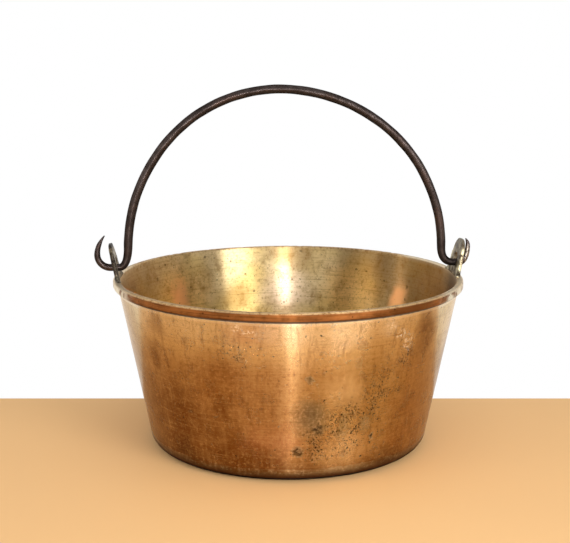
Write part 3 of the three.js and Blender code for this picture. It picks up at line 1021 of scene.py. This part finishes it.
def bronze_finish():
    material, f, shader = new_material("worn_bronze")
    place = f.place()
    inside, lip, lip_top = (f.attribute(name) for name in ("inside", "lip", "lip_top"))
    outside = f.less(1.0, inside)
    fields = {name: f.drawn_noise(place, *form) for name, form in METAL_NOISE.items()}
    fields["height"] = f.split(place)["Z"]
    outer, dirt, foot, pits = outer_colour(f, place, fields)
    inner, spots = inner_colour(f, place, fields)
    base = f.blend(inside, outer, inner)
    base, side_reflection, crease_dirt_and_shade, lip_pits = lip_colour(f, base, place, fields, outside, lip, lip_top)

    dirt = f.times(f.times(dirt, outside), f.less(1.0, lip))
    foot = f.times(foot, outside)
    dull_band = f.times(f.less(lip, f.times(lip, side_reflection)), DULL_BAND)
    covered = f.most([dirt, foot, dull_band, crease_dirt_and_shade, lip_pits])
    rough = f.plus(f.band(fields["mottle"], *ROUGH_MOTTLE), BRONZE_ROUGHNESS)
    added = [(covered, ROUGH_COVERED), (foot, ROUGH_FOOT), (lip, ROUGH_LIP), (inside, ROUGH_INSIDE)]
    relief = f.times(fields["grain"], f.times(inside, INNER_GRAIN_HEIGHT))
    relief = f.less(relief, f.most([pits, lip_pits, spots]))
    f.feed_all(shader, {
        "Base Color": base,
        "Metallic": f.less(1.0, f.times(covered, COVERING)),
        "Specular IOR Level": 0.05,
        "Specular Tint": EDGE_TINT,
        "Anisotropic": 1.0,
        "Anisotropic Rotation": 0.25,
        "Roughness": f.total(rough, added),
        "Normal": f.bump(fields["turned"], *TURNED_BUMP, f.bump(relief, *PIT_BUMP)),
    })
    return material


# Ears
EAR_GREY = colour(158, 147, 124)
EAR_BROWN = colour(98, 82, 60)
EAR_DARK = colour(34, 27, 20)
EAR_BARE_AND_HIGHLIGHT = colour(212, 204, 170)
# Dark smudges round the hole of the right ear, in mm, with their radius
SMUDGES = [((150, -6, 156), 8), ((147, -12, 151), 9), ((149, 4, 168), 5)]
SMUDGE_STRENGTH = 0.7
EAR_RAGGED = (260.0, 5 * MM)
EAR_MOTTLE = (160, 7, 0.65)  # noises: scale, detail, roughness
EAR_GRAIN = (900, 5, 0.7)
EAR_BROWN_LIMITS = (0.38, 0.66)
EAR_PITS = (0.3, 380, 0.3)  # share of cells, their scale, size of a pit
EAR_PIT_STRENGTH = 0.7
EAR_TOP = PAN_HEIGHT + EAR_HEIGHT
RIM_DISTANCES = (10 * MM, 13.5 * MM)  # from the ear's middle towards its sides
HEAD_HEIGHTS = (EAR_TOP - 6 * MM, EAR_TOP - 2 * MM)
LEFT_FROM = (10 * MM, -10 * MM)  # across, from the right ear's side to the left one's
BLACKENED = 0.45  # strength on the right ear, and what the left one has more, partly painted shade on its near edge
LEFT_BLACKENED_AND_SHADE = 0.5
BARE_HEIGHTS = (170 * MM, 162 * MM)
BARE_LIMITS = (0.6, 0.44)
COLLAR_COVER = (PAN_HEIGHT + 7 * MM, PAN_HEIGHT + 3 * MM, 0.6)
COLLAR_LIMITS = (0.4, 0.6)
EAR_ROUGHNESS = 0.34
EAR_ROUGH_MOTTLE = 0.3
EAR_GRAIN_HEIGHT = 0.4
EAR_BUMP = (0.3 * MM, 0.6)


def ear_finish():
    material, f, shader = new_material("dull_ear_bronze")
    place = f.place()
    ragged = f.wavering(place, *EAR_RAGGED)
    mottle = f.noise(place, *EAR_MOTTLE)
    grain = f.noise(place, *EAR_GRAIN)
    base = f.blend(f.band(mottle, *EAR_BROWN_LIMITS), EAR_GREY, EAR_BROWN)
    pits = f.pits(ragged, *EAR_PITS)
    base = f.blend(f.times(pits, EAR_PIT_STRENGTH), base, EAR_DARK)
    smudge = f.most([f.spot(ragged, Vector(c) * MM, r * MM, 1.0, SMUDGE_STRENGTH) for c, r in SMUDGES])
    base = f.blend(smudge, base, EAR_DARK)

    # The rim is blackened, most on the left ear, partly as painted shade; low down on the right ear it is
    # rubbed bare and pale, partly as a painted highlight
    across, aside, height = (f.split(ragged)[axis] for axis in "XYZ")
    upright = f.band(f.math("ABSOLUTE", aside), *RIM_DISTANCES)
    head = f.band(height, *HEAD_HEIGHTS)
    left = f.band(across, *LEFT_FROM)
    black_and_shade = f.times(f.most([upright, head]), f.plus(f.times(left, LEFT_BLACKENED_AND_SHADE), BLACKENED))
    bare_and_highlight = f.times(f.times(upright, f.less(1.0, left)), f.band(height, *BARE_HEIGHTS))
    base = f.blend(f.less(black_and_shade, f.times(bare_and_highlight, black_and_shade)), base, EAR_DARK)
    base = f.blend(f.times(bare_and_highlight, f.band(mottle, *BARE_LIMITS)), base, EAR_BARE_AND_HIGHLIGHT)
    collar = f.blend(f.band(mottle, *COLLAR_LIMITS), EAR_GREY, EAR_DARK)
    base = f.blend(f.band(height, *COLLAR_COVER), base, collar)

    relief = f.less(f.plus(mottle, f.times(grain, EAR_GRAIN_HEIGHT)), pits)
    f.feed_all(shader, {
        "Base Color": base,
        "Metallic": 0.8,
        "Roughness": f.plus(f.times(mottle, EAR_ROUGH_MOTTLE), EAR_ROUGHNESS),
        "Normal": f.bump(relief, *EAR_BUMP),
    })
    return material


# Iron
IRON_BLACK = colour(52, 45, 43)
IRON_BROWN = colour(70, 62, 60)
IRON_RUST = colour(78, 61, 54)
IRON_WORN_AND_REFLECTION = colour(176, 170, 160)
IRON_EDGE_TINT = (0.25, 0.22, 0.2, 1.0)
SCALE_NOISE = (120, 8, 0.7)  # scale, detail, roughness
IRON_GRAIN_NOISE = (700, 5, 0.7)
RUST_NOISE = (45, 5, 0.6)
SCALE_LIMITS = (0.38, 0.62)
RUST_COVER = (0.5, 0.7, 0.5)
IRON_GRAIN_COVER = (0.55, 0.7, 0.3)
HOOK_WORN_OUT = (154 * MM, 156 * MM)  # the outer side of the right hook is worn bright, low down, partly a painted reflection
HOOK_WORN_HEIGHTS = (170 * MM, 166 * MM)
HOOK_WORN_LIMITS = (0.56, 0.46)
IRON_METALLIC = 0.8
METALLIC_WORN = 0.2  # added where the hook is worn
IRON_ROUGHNESS = 0.28
ROUGH_SCALE = 0.2
IRON_GRAIN_HEIGHT = 0.2
IRON_BUMP = (0.2 * MM, 0.5)


def iron_finish():
    material, f, shader = new_material("forged_iron")
    place = f.place()
    scale = f.noise(place, *SCALE_NOISE)
    grain = f.noise(place, *IRON_GRAIN_NOISE)
    rust = f.noise(place, *RUST_NOISE)
    base = f.blend(f.band(scale, *SCALE_LIMITS), IRON_BROWN, IRON_BLACK)
    base = f.blend(f.band(rust, *RUST_COVER), base, IRON_RUST)
    base = f.blend(f.band(grain, *IRON_GRAIN_COVER), base, IRON_BLACK)
    across, height = (f.split(place)[axis] for axis in "XZ")
    # worn bright metal on the right hook, partly a painted reflection of the white behind
    worn = f.times(f.band(across, *HOOK_WORN_OUT), f.band(height, *HOOK_WORN_HEIGHTS))
    worn = f.times(worn, f.band(grain, *HOOK_WORN_LIMITS))
    base = f.blend(worn, base, IRON_WORN_AND_REFLECTION)
    relief = f.plus(scale, f.times(grain, IRON_GRAIN_HEIGHT))
    f.feed_all(shader, {
        "Base Color": base,
        "Metallic": f.plus(f.times(worn, METALLIC_WORN), IRON_METALLIC),
        "Specular IOR Level": 0.15,
        "Specular Tint": IRON_EDGE_TINT,
        "Roughness": f.plus(f.times(scale, ROUGH_SCALE), IRON_ROUGHNESS),
        "Normal": f.bump(relief, *IRON_BUMP),
    })
    return material


# Camera: fitted to the rim, the wall and the base in the photograph
IMAGE_WIDTH = 570
FOCAL_PIXELS = 1174.8
CAMERA_PLACE = Vector((-89.9, -995.96, 342.34)) * MM
CAMERA_TURN = -5.0  # degrees
CAMERA_PITCH = 11.03
SENSOR_WIDTH = 36

# Stage
FLOOR_REACH = 6.0
FLOOR_DROP = 0.1 * MM
FLOOR_EDGE = 0.105  # the pale floor ends behind the pan, and all beyond is white
EDGE_WIDTH = 0.004
FLOOR_TONE = colour(230, 186, 131)
FLOOR_WHITE = colour(250, 250, 250)
WHITE = (1, 1, 1, 1)
WHITE_FROM = (0.33, 0.47)  # how far back a direction points where the white sets in
WHITE_SKEW = 0.13  # the white reaches farther round on the left
ROOM_TINT = (1.0, 0.97, 0.93, 1)
ROOM_SIDES = (-0.5, 0.5)
ROOM_LEFT = 0.5  # strength of the room's own light
ROOM_RIGHT = 0.6
AIM = Vector((0, 0, 0.1))  # where the lamps point
# Azimuth to the right and elevation in degrees, distance, width, height, power, tint, beam in degrees
LAMPS = {
    "camera_light": (-3, 11.5, 1.35, 0.15, 0.2, 1.36, (1, 0.97, 0.96), 90),
    "camera_halo": (-3, 11.5, 1.4, 0.6, 0.35, 0.55, (0.94, 0.95, 1), 90),
    "right_light": (34, 20, 1.7, 0.74, 0.5, 2.5, (1, 0.98, 0.95), 90),
    "right_halo": (29, 20, 1.75, 1.15, 0.5, 2.2, (1, 0.98, 0.95), 90),
    "left_light": (-70, 24, 1.6, 0.5, 0.7, 2.2, (1, 0.93, 0.8), 180),
    "left_window": (-104, 27, 1.8, 0.25, 0.8, 2, (1, 0.98, 0.95), 180),
    "front_fill": (-17, 11, 1.8, 1.8, 0.7, 7, (1, 0.98, 0.98), 180),
    "right_fill": (66, 12, 1.8, 0.5, 0.7, 1.8, (1, 0.97, 0.9), 180),
    "top_light": (0, 80, 1.6, 1.0, 1.0, 2.5, (1, 1, 1), 180),
}


def shown_white(f, behind):
    """1 for what the camera sees, and for what shows in metal or glass where behind is 1."""
    path = f.node("LightPath", {}).outputs
    glossy = f.most([path["Is Glossy Ray"], path["Is Transmission Ray"]])
    return f.most([path["Is Camera Ray"], f.times(glossy, behind)])


def floor():
    sides = ((-1, -1), (1, -1), (1, 1), (-1, 1))
    corners = [(x * FLOOR_REACH, y * FLOOR_REACH, -FLOOR_DROP) for x, y in sides]
    sheet = mesh_object("floor", corners, [(0, 1, 2, 3)])
    sheet.rotation_euler.z = math.radians(CAMERA_TURN)
    material, f, shader = new_material("pale_floor")
    white = f.band(f.split(f.place())["Y"], FLOOR_EDGE, FLOOR_EDGE + EDGE_WIDTH)
    f.feed_all(shader, {
        "Base Color": f.blend(white, FLOOR_TONE, FLOOR_WHITE),
        "Roughness": 0.7,
        "Specular IOR Level": 0.2,
    })
    glow = f.node("Emission", {"Color": WHITE, "Strength": 1.0})
    plain = f.tree.nodes["Principled BSDF"].outputs[0]
    mix = f.node("MixShader", {0: f.times(white, shown_white(f, white)), 1: plain, 2: glow.outputs[0]})
    f.feed(f.tree.nodes["Material Output"].inputs["Surface"], mix.outputs[0])
    sheet.data.materials.append(material)


def world():
    """White behind the pan for the eye and for the metal, and a dim room, dimmer on the left."""
    made = bpy.data.worlds.new("studio")
    made.use_nodes = True
    bpy.context.scene.world = made
    f = Nodes(made.node_tree)
    f.tree.nodes.clear()
    towards = f.split(f.node("TexCoord", {}).outputs["Generated"])
    behind = f.band(f.less(towards["Y"], f.times(towards["X"], WHITE_SKEW)), *WHITE_FROM)
    strength = f.plus(f.band(towards["X"], *ROOM_SIDES, ROOM_RIGHT - ROOM_LEFT), ROOM_LEFT)
    room = f.node("Background", {"Color": ROOM_TINT, "Strength": strength}).outputs[0]
    white = f.node("Background", {"Color": WHITE, "Strength": 1.0}).outputs[0]
    mix = f.node("MixShader", {0: shown_white(f, behind), 1: room, 2: white}).outputs[0]
    f.node("OutputWorld", {"Surface": mix})


def softbox(name, azimuth, elevation, distance, width, tall, power, tint, beam):
    """An area lamp that faces the pan."""
    lamp = bpy.data.lights.new(name, "AREA")
    lamp.shape = "RECTANGLE"
    lamp.size, lamp.size_y = width, tall
    lamp.energy = power
    lamp.spread = math.radians(beam)
    lamp.color = tint
    a, e = math.radians(azimuth), math.radians(elevation)
    away = Vector((math.sin(a) * math.cos(e), -math.cos(a) * math.cos(e), math.sin(e)))
    holder = linked(name, lamp)
    holder.location = AIM + away * distance
    holder.rotation_mode = "QUATERNION"
    holder.rotation_quaternion = (-away).to_track_quat("-Z", "Y")


def camera():
    data = bpy.data.cameras.new("camera")
    data.sensor_fit = "HORIZONTAL"
    data.sensor_width = SENSOR_WIDTH
    data.lens = FOCAL_PIXELS / IMAGE_WIDTH * SENSOR_WIDTH
    holder = linked("camera", data)
    holder.location = CAMERA_PLACE
    holder.rotation_euler = (math.radians(90 - CAMERA_PITCH), 0, math.radians(CAMERA_TURN))
    bpy.context.scene.camera = holder


def put(piece, node, body, material):
    piece.data.materials.append(material)
    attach(piece, body)
    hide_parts(node)


put(pan_piece(), "pan_body", "pan", bronze_finish())
ear_bronze = ear_finish()
for side in EAR_SEEDS:
    put(ear_piece(side), f"ear_{side}", "pan", ear_bronze)
put(bail_piece(), "bail", "bail", iron_finish())

floor()
world()
for name, form in LAMPS.items():
    softbox(name, *form)
camera()

bpy.context.scene.view_settings.view_transform = "Standard"
bpy.context.view_layer.update()
